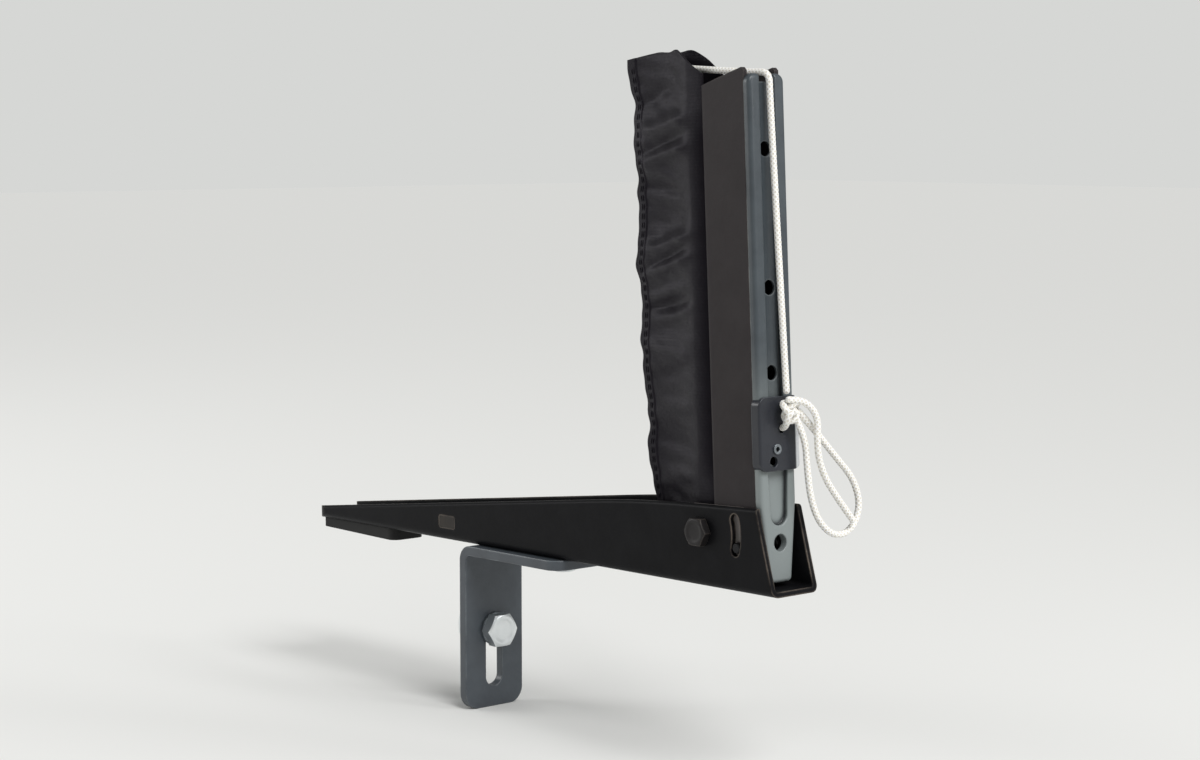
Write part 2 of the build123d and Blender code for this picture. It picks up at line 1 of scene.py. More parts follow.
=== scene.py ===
import json
import math
import bmesh
import bpy
import numpy as np
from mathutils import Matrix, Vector


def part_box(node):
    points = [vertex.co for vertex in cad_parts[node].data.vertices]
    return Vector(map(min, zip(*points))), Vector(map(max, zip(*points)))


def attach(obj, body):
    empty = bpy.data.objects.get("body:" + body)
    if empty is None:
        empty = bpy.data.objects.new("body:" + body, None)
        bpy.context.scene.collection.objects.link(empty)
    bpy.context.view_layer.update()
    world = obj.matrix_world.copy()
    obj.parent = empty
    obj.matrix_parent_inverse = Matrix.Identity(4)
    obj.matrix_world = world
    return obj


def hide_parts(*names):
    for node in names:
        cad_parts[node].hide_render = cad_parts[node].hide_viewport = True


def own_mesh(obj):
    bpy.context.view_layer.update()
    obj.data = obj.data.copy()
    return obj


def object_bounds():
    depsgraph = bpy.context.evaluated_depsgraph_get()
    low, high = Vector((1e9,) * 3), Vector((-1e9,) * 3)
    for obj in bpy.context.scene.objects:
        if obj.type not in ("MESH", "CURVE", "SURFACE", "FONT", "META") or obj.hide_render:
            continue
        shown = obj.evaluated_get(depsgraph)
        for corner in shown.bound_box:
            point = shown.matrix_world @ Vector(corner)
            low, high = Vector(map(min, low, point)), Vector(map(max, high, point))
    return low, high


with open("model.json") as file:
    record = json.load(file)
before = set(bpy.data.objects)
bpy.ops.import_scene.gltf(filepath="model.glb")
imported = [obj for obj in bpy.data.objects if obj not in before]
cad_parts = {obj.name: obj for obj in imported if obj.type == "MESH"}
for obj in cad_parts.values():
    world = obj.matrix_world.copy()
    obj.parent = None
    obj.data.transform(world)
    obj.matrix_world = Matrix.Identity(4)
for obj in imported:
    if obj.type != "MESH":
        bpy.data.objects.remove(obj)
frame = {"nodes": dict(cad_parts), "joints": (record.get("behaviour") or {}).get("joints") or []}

scene = bpy.context.scene
nodes = frame["nodes"]
joints = {joint["name"]: joint for joint in frame["joints"]}
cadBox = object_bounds()
mm = 0.001

# The post leans, so its pieces are placed by (out from the pivot, along the table, up the post) in mm
upAxis = np.array(joints["tension_slide"]["axis"], float)
outAxis = np.array([upAxis[2], 0.0, -upAxis[0]])
alongAxis = np.array([0.0, 1.0, 0.0])
pivotPlace = np.array(joints["post_tilt"]["pos_m"], float)


def onPost(points):
    # pivot + out * outAxis + along * Y + up * upAxis, for an array of points whose last axis is 3 long.
    p = np.asarray(points, float) * mm
    return pivotPlace + p[..., 0:1] * outAxis + p[..., 1:2] * alongAxis + p[..., 2:3] * upAxis


# Camera

view = {"place": (0.6046, -0.4643, 0.1568), "aim": (0.055, 0.0, 0.0831), "lens": 73.0}
camera = bpy.data.objects.new("camera", bpy.data.cameras.new("camera"))
scene.collection.objects.link(camera)
camera.location = view["place"]
camera.rotation_euler = (Vector(view["aim"]) - Vector(view["place"])).to_track_quat("-Z", "Y").to_euler()
camera.data.lens = view["lens"]
camera.data.sensor_width = 36.0
camera.data.clip_start = 0.01
scene.camera = camera
print("camera placed")


# Mesh and node helpers

def linear(hexColour):
    # sRGB hex to linear: c / 12.92 up to 0.04045, else ((c + 0.055) / 1.055) ** 2.4.
    values = [int(hexColour[i:i + 2], 16) / 255 for i in (1, 3, 5)]
    return tuple(c / 12.92 if c <= 0.04045 else ((c + 0.055) / 1.055) ** 2.4 for c in values) + (1.0,)


def addNode(tree, kind, settings=None, links=None):
    node = tree.nodes.new(kind)
    for key, value in (settings or {}).items():
        if isinstance(key, int) or key in node.inputs:
            node.inputs[key].default_value = value
        else:
            setattr(node, key, value)
    for key, socket in (links or {}).items():
        tree.links.new(socket, node.inputs[key])
    return node


def newMaterial(name):
    material = bpy.data.materials.new(name)
    material.use_nodes = True
    tree = material.node_tree
    return material, tree, tree.nodes["Principled BSDF"]


def gridMesh(name, points, closed=False, keep=None, uv=None, values=None, sharp=None):
    # Quads over a grid of points (rows along, columns around). keep is a mask of the cells to make.
    rows, columns = points.shape[:2]
    index = np.arange(rows * columns).reshape(rows, columns)
    right = np.roll(index, -1, axis=1)
    cells = np.stack([index[:-1], right[:-1], right[1:], index[1:]], axis=-1)
    if not closed:
        cells = cells[:, :-1]
    cells = cells.reshape(-1, 4) if keep is None else cells[keep]
    mesh = bpy.data.meshes.new(name)
    mesh.from_pydata(points.reshape(-1, 3).tolist(), [], cells.tolist())
    if uv is not None:
        layer = mesh.uv_layers.new(name="UVMap")
        layer.data.foreach_set("uv", uv.reshape(-1, 2)[cells.ravel()].astype(np.float32).ravel())
    if values is not None:
        layer = mesh.attributes.new("relief", "FLOAT", "POINT")
        layer.data.foreach_set("value", values.astype(np.float32).ravel())
    work = bmesh.new()
    work.from_mesh(mesh)
    bmesh.ops.remove_doubles(work, verts=work.verts, dist=1e-7)
    bmesh.ops.recalc_face_normals(work, faces=work.faces)
    work.to_mesh(mesh)
    work.free()
    mesh.shade_smooth()
    if sharp:
        mesh.set_sharp_from_angle(angle=math.radians(sharp))
    piece = bpy.data.objects.new(name, mesh)
    scene.collection.objects.link(piece)
    return piece


def smoothStep(x):
    # 3x^2 - 2x^3 between 0 and 1, and level outside.
    x = np.clip(x, 0, 1)
    return x * x * (3 - 2 * x)


# Tension cord: white braided polyester, 2 mm

cordBraid = {
    "radius": 0.92, "relief": 0.13,
    "strands": 4,          # ridges round the cord in each direction
    "pitch": 5.2,          # mm along for one turn of a strand; coarser than the real plait, so that it shows
    "around": 32, "step": 0.16,
}
cordRoutes = {
    "run": [(-11.0, 0.0, 129.8), (17.1, 0.41, 126.6), (23.6, 0.5, 126.4), (23.29, 0.56, 119.9),
            (25.8, 1.3, 38.5)],
    "loop": [(27.0, 3.2, 32.0), (27.6, 6.2, 26.5), (27.6, 6.6, 17.5), (27.4, 7.8, 9.0), (27.3, 11.0, 2.2),
             (27.2, 17.0, -2.2), (27.2, 23.6, -1.2), (27.2, 27.6, 5.2), (27.4, 25.0, 13.2),
             (27.6, 17.6, 20.2), (27.8, 10.2, 27.6), (27.6, 3.4, 34.2)],
    "tail": [(28.0, -1.2, 37.3), (29.2, 3.0, 37.1), (30.1, 6.5, 34.8), (30.5, 8.4, 31.1), (30.4, 8.0, 26.5),
             (30.0, 8.6, 20.6), (29.7, 11.4, 14.6), (29.5, 15.8, 9.2), (29.3, 19.8, 4.8), (29.2, 22.8, 1.4)],
}


def splinePath(route, step):
    # Points every step mm along the smooth NURBS line whose control points are the route.
    curve = bpy.data.curves.new("route", "CURVE")
    curve.dimensions = "3D"
    curve.resolution_u = 24
    spline = curve.splines.new("NURBS")
    spline.points.add(len(route) - 1)
    spline.points.foreach_set("co", np.c_[onPost(route), np.ones(len(route))].astype(np.float32).ravel())
    spline.order_u = 3
    spline.use_endpoint_u = True
    holder = bpy.data.objects.new("route", curve)
    scene.collection.objects.link(holder)
    bpy.context.view_layer.update()
    mesh = bpy.data.meshes.new_from_object(holder.evaluated_get(bpy.context.evaluated_depsgraph_get()))
    line = np.zeros(len(mesh.vertices) * 3, np.float32)
    mesh.vertices.foreach_get("co", line)
    bpy.data.objects.remove(holder)
    bpy.data.meshes.remove(mesh)
    return evenly(line.reshape(-1, 3).astype(float), step * mm)


def evenly(line, step):
    # The same line with its points an equal distance apart.
    gone = np.r_[0, np.cumsum(np.linalg.norm(np.diff(line, axis=0), axis=1))]
    places = np.linspace(0, gone[-1], max(8, int(gone[-1] / step)))
    return np.stack([np.interp(places, gone, line[:, k]) for k in range(3)], axis=1)


def cordTube(name, path, across, settings, roundEnds=True):
    # Ring about each point of the path: radius + relief * max(|cos(n(a + ks))|, |cos(n(a - ks))|), with
    # rounded ends where the radius falls as a quarter circle. across is a direction never along the path.
    ahead = np.gradient(path, axis=0)
    ahead /= np.linalg.norm(ahead, axis=1)[:, None]
    side = np.cross(ahead, across)
    side /= np.linalg.norm(side, axis=1)[:, None]
    other = np.cross(ahead, side)
    gone = np.r_[0, np.cumsum(np.linalg.norm(np.diff(path, axis=0), axis=1))] / mm
    angle = np.linspace(0, 2 * np.pi, settings["around"], endpoint=False)
    turn = 2 * np.pi * gone[:, None] / settings["pitch"]
    half = settings["strands"] / 2
    ridge = np.maximum(np.abs(np.cos(half * (angle + turn))), np.abs(np.cos(half * (angle - turn))))
    radius = settings["radius"] + settings["relief"] * (ridge - 0.7)
    if roundEnds:
        fromEnd = np.minimum(gone, gone[-1] - gone)[:, None] / settings["radius"]
        radius = radius * np.sqrt(np.clip(1 - (1 - np.clip(fromEnd, 0, 1)) ** 2, 0, 1))
    spoke = np.cos(angle)[None, :, None] * side[:, None] + np.sin(angle)[None, :, None] * other[:, None]
    points = path[:, None] + mm * radius[..., None] * spoke
    uv = np.stack(np.broadcast_arrays(angle[None, :] / (2 * np.pi), gone[:, None] / 10), axis=-1)
    return gridMesh(name, points, closed=True, uv=uv, values=ridge)


def makeCord(name, route, node, across):
    path = splinePath(cordRoutes[route], cordBraid["step"])
    piece = cordTube(name, path, across, cordBraid)
    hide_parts(node)
    return piece, path


knotShape = {
    "centre": (27.1, 1.2, 34.2), "wide": 0.96, "deep": 1.05, "turn": 0.35,
    "bight": [(27.6, 2.6, 33.4), (28.9, 1.4, 34.0), (28.8, -0.6, 33.4), (27.9, -1.0, 31.4),
              (26.2, 0.2, 30.0), (25.0, 0.7, 29.5), (24.2, 0.8, 29.3), (23.5, 0.8, 29.2)],
}


def makeKnot(settings):
    # Overhand knot drawn tight, its two ends joined inside it: along = sin t + 2 sin 2t,
    # up = cos t - 2 cos 2t, out = -sin 3t. A strand of the same cord curls from it into the slide's small
    # hole.
    t = np.linspace(0, 2 * np.pi, 400) + settings["turn"]
    out, along, up = settings["centre"]
    wide, deep = settings["wide"], settings["deep"]
    knot = np.stack([out - deep * np.sin(3 * t), along + wide * (np.sin(t) + 2 * np.sin(2 * t)),
                     up + wide * (np.cos(t) - 2 * np.cos(2 * t))], axis=1)
    wraps = cordTube("cordKnotWraps", evenly(onPost(knot), cordBraid["step"] * mm), outAxis, cordBraid, False)
    path = splinePath(settings["bight"], cordBraid["step"])
    turn = cordTube("cordKnotTurn", path, alongAxis + 0.3 * upAxis, cordBraid)
    for piece in (wraps, turn):
        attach(piece, "slider")
    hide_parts("cord_knot")
    return wraps, turn


cordRun, runPath = makeCord("cordRun", "run", "cord_run", alongAxis)
cordLoop, loopPath = makeCord("cordLoop", "loop", "cord_loop", outAxis)
cordTail, tailPath = makeCord("cordTail", "tail", "cord_tail", outAxis)
knotPieces = makeKnot(knotShape)
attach(cordRun, "post")
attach(cordLoop, "slider")
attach(cordTail, "slider")
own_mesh(cordRun)
print("cords laid")


# Net end sleeve: a strip of black satin folded round the rod, its two edges sewn together

sleeve = {
    "rows": (16, 245, 44), "columns": 241,
    "wrapShare": 0.16,     # half of the strip's share that goes round the rod's far side
    "rodOut": -4.2, "wrapOut": 6.3, "halfRod": 4.35, "halfEdge": 0.62, "taper": 9.0,
    "cuts": (11.8, 118.2), "clipGap": 3.75, "folds": 1.45,
    "height": 132, "thickness": 0.42, "hem": 4.2, "hemRaise": 0.26,
    "reach": 31.0,         # how far in the free edge is, before "edge" gives it a width for each height
    "edge": [(3, 27.0), (25, 29.2), (50, 30.6), (76, 31.2), (90, 30.8), (104, 30.3), (116, 31.2),
             (134, 33.0)],
    "top": [(-33, 133.4), (-26, 134.2), (-18, 134.9), (-13.5, 134.3), (-9.5, 135.1), (-6, 132.8),
            (-2.5, 130.0), (0.5, 128.0), (3, 126.2)],
    "bottom": [(-34, 3.4), (-12, 3.4), (-6, 4.6), (3, 5.2)],
}
# Folds: height at the middle, slope, half width, depth (all mm), and where along the width they lie
sleeveFolds = [
    (109.0, 0.10, 7.5, 1.10, -19, 14), (75.5, 0.15, 6.5, 1.00, -18, 13), (47.0, 0.10, 8.0, 0.80, -17, 13),
    (114.5, 0.10, 2.6, 0.85, -14, 12), (109.5, 0.22, 1.8, -0.80, -16, 12), (106.0, 0.16, 1.7, 0.75, -12, 11),
    (99.5, -0.24, 2.0, 0.60, -20, 8), (96.0, -0.10, 1.8, -0.55, -18, 9), (88.0, 0.05, 4.5, -0.50, -12, 12),
    (81.0, 0.20, 2.0, 0.85, -14, 12), (77.2, 0.28, 1.4, -0.65, -16, 10), (74.4, 0.22, 1.5, 0.60, -13, 11),
    (67.0, 0.18, 1.9, 0.70, -18, 9), (63.5, 0.12, 1.6, -0.60, -17, 10), (60.0, 0.16, 1.8, 0.60, -14, 11),
    (50.0, -0.12, 2.6, 0.50, -18, 9), (44.0, 0.14, 2.2, -0.45, -15, 11), (34.0, 0.10, 3.2, 0.50, -14, 12),
    (24.0, -0.15, 2.4, -0.45, -16, 10), (14.0, 0.12, 2.8, 0.45, -16, 10), (124.5, 0.30, 2.4, -0.45, -20, 8),
]


def foldDepth(out, up, phase):
    # Sum of ridges, each depth * exp(-((up - height - slope * (out + 15)) / width)^2)
    # * exp(-((out - at) / spread)^2)
    depth = np.zeros(np.broadcast(out, up).shape)
    for height, slope, width, deep, at, spread in sleeveFolds:
        across = (up - height - phase - slope * (1 - 0.12 * phase) * (out + 15)) / width
        depth = depth + deep * np.exp(-across ** 2) * np.exp(-((out - at) / spread) ** 2)
    return depth


def smoothLine(knots, x):
    # Linear interpolation, averaged over a short window so that its corners are round.
    xs, ys = np.array(knots, float).T
    offsets = np.linspace(-1.2, 1.2, 9)
    return np.mean([np.interp(x + d, xs, ys) for d in offsets], axis=0)


def makeSleeve(settings):
    # Section round the rod's far side: (wrapOut * cos a, halfRod * sin(a)^n), n from 1 down to 0.15 by the
    # clips, where it is open. Two walls close up on the net's side as
    # halfEdge + (halfRod - halfEdge) * exp(-(distance / taper)^1.6). They carry the folds, which fade at
    # the rod.
    columns, rodOut = settings["columns"], settings["rodOut"]
    strip = np.linspace(-1, 1, columns)[None, :]
    share, side = np.abs(strip), np.sign(strip)
    wrap = settings["wrapShare"]
    turn = np.clip(share / wrap, 0, 1) * np.pi / 2
    inward = np.clip((share - wrap) / (1 - wrap), 0, 1)
    around = share < wrap
    out0 = np.where(around, rodOut + settings["wrapOut"] * np.cos(turn),
                    rodOut - inward * (settings["reach"] + rodOut))
    levels = [level + 0 * out0 for level in (smoothLine(settings["bottom"], out0), *settings["cuts"],
                                             smoothLine(settings["top"], out0))]
    up = np.concatenate([low + (high - low) * np.linspace(0, 1, count, endpoint=False)[:, None]
                         for low, high, count in zip(levels, levels[1:], settings["rows"])] + [levels[-1]])
    width = np.interp(up, *np.array(settings["edge"], float).T)
    pucker = 0.45 * np.sin(up / 1.35) * np.sin(up / 7.1 + 0.6) + 0.35 * np.sin(up / 2.9 + 1.0)
    out = np.where(around, out0, rodOut - inward * (width + rodOut + pucker * inward ** 4))
    gone = np.clip(rodOut - out, 0, None)
    gap = settings["halfEdge"] + (settings["halfRod"] - settings["halfEdge"]) * np.exp(
        -(gone / settings["taper"]) ** 1.6)
    square = 1 - 0.85 * np.maximum(smoothStep((up - 108) / 10), smoothStep((22 - up) / 10))
    half = np.where(around, settings["halfRod"] * np.sin(turn) ** square, gap)
    fade = smoothStep((gone + 3) / 9) * (1 - 0.75 * smoothStep((inward - 0.8) / 0.2))
    folds = foldDepth(out, up, 0.0) * (side < 0) + foldDepth(out, up, 2.3) * (side > 0)
    fine = 0.12 * np.sin(up / 0.9 + out / 2.1) * np.sin(up / 5.3 - out / 3.7 + 1.2 * side)
    hem = settings["hemRaise"] * smoothStep((settings["hem"] - (1 - inward) * width) / 0.5)
    sway = 0.5 * np.sin(up / 4.6 + 0.5) * inward ** 3
    raised = fade * (settings["folds"] * folds + fine) + hem * (share > wrap)
    along = side * (half + np.where(around, np.minimum(raised, 0.25), raised)) + sway
    points = onPost(np.stack([out, along, up], axis=-1))
    rows = settings["rows"]
    cells = np.ones((sum(rows), columns - 1), bool)
    middle = np.abs(0.5 * (along[-1, 1:] + along[-1, :-1])) < settings["clipGap"]
    beside = (share[0, 1:] < wrap + 0.01) & middle
    cells[rows[0] + rows[1]:, beside] = False
    cells[:rows[0], beside] = False
    centre = len(points) // 2
    stripLength = np.cumsum(np.r_[0, np.linalg.norm(np.diff(points[centre], axis=0), axis=1)]) / mm
    uv = np.stack(np.broadcast_arrays(stripLength[None, :] / 100, up / 100), axis=-1)
    piece = gridMesh("sleeveCloth", points, keep=cells, uv=uv)
    wall = piece.modifiers.new("cloth thickness", "SOLIDIFY")
    wall.thickness = settings["thickness"] * mm
    wall.offset = 0
    across, above = np.diff(points, axis=1)[:-1], np.diff(points, axis=0)[:, :-1]
    area = float(np.linalg.norm(np.cross(above, across), axis=-1)[cells].sum())
    return piece, points, stripLength[-1] * mm, area


# Thread along the hem, in mm: columns of the cloth's grid that it follows, counted from each edge
stitch = {"columns": (6, 9), "margin": 2.0, "pitch": 2.6, "half": 0.95, "radius": 0.17, "lift": 0.26,
          "sides": 6, "rings": 7}


def pointAt(line, place):
    return np.array([np.interp(place, np.arange(len(line)), line[:, k]) for k in range(3)])


def makeStitches(points, settings):
    # Flat loops above the cloth, each a tube whose radius is radius * sqrt(1.02 - t^2) for t from -1 to 1.
    rows = points.shape[0]
    sides, ringCount = settings["sides"], settings["rings"]
    gone = np.linalg.norm(points[:, 0] - points[0, 0], axis=1) / mm
    places = np.arange(settings["margin"], gone[-1] - settings["margin"], settings["pitch"])
    starts = np.interp(places, gone, np.arange(rows))
    vertices, faces = [], []
    angle = np.linspace(0, 2 * np.pi, sides, endpoint=False)
    along = np.linspace(-1, 1, ringCount)
    width = settings["radius"] * np.sqrt(1.02 - along ** 2)
    for column in settings["columns"]:
        for wall in (column, points.shape[1] - 1 - column):
            line = points[:, wall]
            outward = np.sign((line[:, 1] - points[:, points.shape[1] // 2, 1]).mean())
            for start in starts:
                middle = pointAt(line, start)
                later = pointAt(line, min(start + 4, rows - 1))
                ahead = (later - middle) / np.linalg.norm(later - middle)
                raised = width[:, None] * np.sin(angle) + settings["lift"]
                rings = (middle + mm * (along[:, None, None] * settings["half"] * ahead
                         + width[:, None, None] * np.cos(angle)[None, :, None] * outAxis
                         + raised[..., None] * outward * alongAxis))
                first = len(vertices) * ringCount * sides
                index = first + np.arange(ringCount * sides).reshape(ringCount, sides)
                right = np.roll(index, -1, axis=1)
                faces.append(np.stack([index[:-1], right[:-1], right[1:], index[1:]], axis=-1).reshape(-1, 4))
                vertices.append(rings.reshape(-1, 3))
    mesh = bpy.data.meshes.new("sleeveStitching")
    mesh.from_pydata(np.concatenate(vertices).tolist(), [], np.concatenate(faces).tolist())
    mesh.shade_smooth()
    piece = bpy.data.objects.new("sleeveStitching", mesh)
    scene.collection.objects.link(piece)
    return piece


sleeveCloth, sleevePoints, sleeveWidth, sleeveArea = makeSleeve(sleeve)
sleeveStitching = makeStitches(sleevePoints, stitch)
for piece in (sleeveCloth, sleeveStitching):
    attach(piece, "post")
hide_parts("net_sleeve")
print("sleeve sewn")


# Bolts with their threads: M6 through the strap, M5 at the pivot

boltSizes = {
    "clampBolt": {"node": "clamp_bolt", "axis": 0, "head": 1, "across": 10.0, "height": 4.0, "radius": 2.98,
                  "pitch": 1.0, "plain": 5.5, "slot": "bright_zinc", "body": "clamp_fastener"},
    "pivotBolt": {"node": "pivot_bolt", "axis": 1, "head": -1, "across": 7.6, "height": 2.6, "radius": 2.48,
                  "pitch": 0.8, "plain": 16.0, "slot": "black_fasteners", "body": "clamp_frame"},
}


def makeBolt(name, size):
    # Rings from the middle of the head's top to the thread's end. Hexagon: half across / cos(angle to the
    # nearest flat's middle). Its top falls away at 30 degrees outside 0.47 of the width across. Thread:
    # radius less 0.54 of the pitch times a triangle wave of (height / pitch - angle / 2 pi).
    low, high = (np.array(corner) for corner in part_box(size["node"]))
    length = (high - low)[size["axis"]] / mm - size["height"]
    angle = np.linspace(0, 2 * np.pi, 96, endpoint=False)
    flat = (angle + np.pi / 6) % (np.pi / 3) - np.pi / 6
    hexagon = size["across"] / 2 / np.cos(flat)
    ones = np.ones_like(angle)
    top = size["height"]
    crown = 0.47 * size["across"]
    rings = [(0 * ones, (top - 0.22) * ones), (0.55 * crown * ones, (top - 0.22) * ones),
             (0.72 * crown * ones, (top - 0.16) * ones), (0.80 * crown * ones, top * ones),
             (crown * ones, top * ones)]
    for share in (0.33, 0.67, 1.0):
        radius = crown + share * (hexagon - crown)
        rings.append((radius, top - (radius - crown) * math.tan(math.radians(30))))
    rings.append((hexagon, 0.12 * ones))
    rings.append((0.985 * hexagon, 0 * ones))
    rings.append((size["radius"] * ones, 0 * ones))
    heights = np.arange(0.1, length, size["pitch"] / 10)
    wave = (heights[:, None] / size["pitch"] - angle / (2 * np.pi)) % 1
    depth = 0.54 * size["pitch"] * np.clip(np.abs(2 * wave - 1) * 1.25 - 0.12, 0, 1)
    started = smoothStep((heights[:, None] - size["plain"]) / size["pitch"])
    ending = np.clip(heights[:, None] - length + 0.7, 0, None)
    body = size["radius"] - np.maximum(depth * started, ending)
    rings += [(ring, -height * ones) for ring, height in zip(body, heights)]
    rings.append((0 * ones, -(length - 0.02) * ones))
    radius, height = (np.array(part) for part in zip(*rings))
    middle = (low + high) / 2
    axis = np.eye(3)[size["axis"]] * size["head"]
    first = np.eye(3)[2]
    second = np.cross(axis, first)
    end = high if size["head"] > 0 else low
    seat = middle * (1 - np.abs(axis)) + end * np.abs(axis) - axis * size["height"] * mm
    spoke = np.cos(angle)[None, :, None] * first + np.sin(angle)[None, :, None] * second
    points = seat + mm * (radius[..., None] * spoke + height[..., None] * axis)
    piece = gridMesh(name, points, closed=True, sharp=32)
    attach(piece, size["body"])
    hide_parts(size["node"])
    return piece


bolts = {name: makeBolt(name, size) for name, size in boltSizes.items()}
print("bolts turned")


# Finishes

def noise(tree, place, scale, detail, roughness=0.5):
    settings = {"Scale": scale, "Detail": detail, "Roughness": roughness}
    return addNode(tree, "ShaderNodeTexNoise", settings, {"Vector": place}).outputs["Fac"]


def ramp(tree, value, low, high, bottom=0.0, top=1.0):
    # From bottom to top, in a straight line, as the value goes from low to high.
    settings = {"From Min": low, "From Max": high, "To Min": bottom, "To Max": top}
    return addNode(tree, "ShaderNodeMapRange", settings, {0: value}).outputs[0]


def bump(tree, height, strength, distance, under=None):
    links = {"Height": height} if under is None else {"Height": height, "Normal": under}
    return addNode(tree, "ShaderNodeBump", {"Strength": strength, "Distance": distance}, links).outputs[0]


def mixed(tree, amount, first, second):
    # From the first colour to the second as the amount goes from 0 to 1. Each is a hex colour or a socket.
    node = addNode(tree, "ShaderNodeMix", {"data_type": "RGBA"}, {0: amount})
    for slot, colour in ((6, first), (7, second)):
        if isinstance(colour, str):
            node.inputs[slot].default_value = linear(colour)
        else:
            tree.links.new(colour, node.inputs[slot])
    return node.outputs[2]


def onSurface(tree, sockets):
    surface = tree.nodes["Principled BSDF"]
    for name, socket in sockets.items():
        tree.links.new(socket, surface.inputs[name])


def powderCoat(name, look):
    # Baked powder on sheet steel: an even satin skin with faint orange peel, thin and rubbed at the edges,
    # where a painted highlight also lightens them.
    material, tree, surface = newMaterial(name)
    place = addNode(tree, "ShaderNodeTexCoord").outputs["Object"]
    soft = addNode(tree, "ShaderNodeBevel", {"samples": 8, "Radius": look["edge"] * mm}).outputs[0]
    shape = addNode(tree, "ShaderNodeNewGeometry").outputs["Normal"]
    facing = addNode(tree, "ShaderNodeVectorMath", {"operation": "DOT_PRODUCT"}, {0: soft, 1: shape})
    # Edge mask: the lighter edge colour is partly wear and partly a painted highlight along the edges.
    edge = ramp(tree, facing.outputs["Value"], 0.995, 0.84)
    cloud = noise(tree, place, 1000 / 9.0, 5.0, 0.62)
    patchy = ramp(tree, cloud, 0.36, 0.66)
    wornAndLit = addNode(tree, "ShaderNodeMath", {"operation": "MULTIPLY"}, {0: edge, 1: patchy})
    amount = addNode(tree, "ShaderNodeMath", {"operation": "MULTIPLY", 1: look["wearAndLight"]}, {0: wornAndLit.outputs[0]})
    base = mixed(tree, patchy, look["colour"], look["cloudy"])
    colour = mixed(tree, amount.outputs[0], base, look["wornAndLitEdge"])
    gloss = ramp(tree, cloud, 0, 1, look["roughness"] - 0.06, look["roughness"] + 0.07)
    peel = bump(tree, noise(tree, place, 1000 / look["peel"], 2.0), 0.5, 0.07 * mm, soft)
    grit = bump(tree, noise(tree, place, 1000 / 0.35, 1.0), 0.35, 0.02 * mm, peel)
    surface.inputs["Specular IOR Level"].default_value = look["shine"]
    onSurface(tree, {"Base Color": colour, "Roughness": gloss, "Normal": grit})
    return material


def bareMetal(name, look):
    # Plated or drawn steel: fully metallic, with a fine grain stretched along the way it was worked.
    material, tree, surface = newMaterial(name)
    place = addNode(tree, "ShaderNodeTexCoord").outputs["Object"]
    soft = addNode(tree, "ShaderNodeBevel", {"samples": 8, "Radius": 0.25 * mm}).outputs[0]
    colour = mixed(tree, noise(tree, place, 1000 / 2.4, 4.0), look["colour"], look["cloudy"])
    stretched = addNode(tree, "ShaderNodeMapping", {"Scale": look["grain"]}, {"Vector": place}).outputs[0]
    grain = noise(tree, stretched, 1.0, 3.0)
    gloss = ramp(tree, grain, 0, 1, look["roughness"] - 0.08, look["roughness"] + 0.12)
    surface.inputs["Metallic"].default_value = 1.0
    worked = bump(tree, grain, 0.4, 0.03 * mm, soft)
    onSurface(tree, {"Base Color": colour, "Roughness": gloss, "Normal": worked})
    return material


def greyBarCoat(name, look):
    # Grey powder coat, dark above the slider and pale below it, where the pale is a painted reflection of the
    # floor.
    # A painted shade, from ambient occlusion, darkens the corners of its pocket and groove.
    material = powderCoat(name, look)
    tree = material.node_tree
    darker = tree.nodes["Principled BSDF"].inputs["Base Color"].links[0].from_socket
    place = addNode(tree, "ShaderNodeTexCoord").outputs["Object"]
    height = addNode(tree, "ShaderNodeVectorMath", {"operation": "DOT_PRODUCT", 1: tuple(upAxis)}, {0: place})
    pivotUp = float(pivotPlace @ upAxis)
    shift = addNode(tree, "ShaderNodeMath", {"operation": "MULTIPLY_ADD", 1: 6 * mm},
                    {0: noise(tree, place, 1000 / 6.0, 4.0), 2: height.outputs["Value"]})
    # Painted reflection of the pale floor: the bar turns pale below the slider.
    pale = addNode(tree, "ShaderNodeMapRange", {
        "interpolation_type": "SMOOTHSTEP", "From Min": pivotUp + look["reflectionTop"] * mm,
        "From Max": pivotUp + look["reflectionFull"] * mm}, {0: shift.outputs[0]})
    colour = mixed(tree, pale.outputs[0], darker, look["pale"])
    # Painted shade: ambient occlusion darkens the corners of the pocket and groove.
    hidden = addNode(tree, "ShaderNodeAmbientOcclusion",
                     {"samples": 8, "only_local": True, "Distance": 2.4 * mm})
    cornerShade = ramp(tree, hidden.outputs["AO"], 0.84, 0.60)
    onSurface(tree, {"Base Color": mixed(tree, cornerShade, colour, look["cornerShade"])})
    return material


def sliderCoat(name, look):
    # Dark paint on a thin steel slide; its far lip carries a painted highlight in a bright metal colour.
    material = powderCoat(name, look)
    tree = material.node_tree
    painted = tree.nodes["Principled BSDF"].inputs["Base Color"].links[0].from_socket
    place = addNode(tree, "ShaderNodeTexCoord").outputs["Object"]
    along = addNode(tree, "ShaderNodeSeparateXYZ", {}, {0: place}).outputs["Y"]
    # Painted highlight along the slide's far lip.
    highlightMask = ramp(tree, along, look["highlightFrom"] * mm, look["highlightTo"] * mm)
    onSurface(tree, {"Base Color": mixed(tree, highlightMask, painted, look["highlightColour"])})
    return material


def plainMoulding(name, look):
    # Moulded nylon or rubber: one colour through, a little cloudy, with a fine matt skin.
    material, tree, surface = newMaterial(name)
    place = addNode(tree, "ShaderNodeTexCoord").outputs["Object"]
    colour = mixed(tree, noise(tree, place, 1000 / 3.0, 4.0), look["colour"], look["cloudy"])
    skin = bump(tree, noise(tree, place, 1000 / 0.4, 2.0), 0.4, 0.04 * mm)
    surface.inputs["Roughness"].default_value = look["roughness"]
    onSurface(tree, {"Base Color": colour, "Normal": skin})
    return material


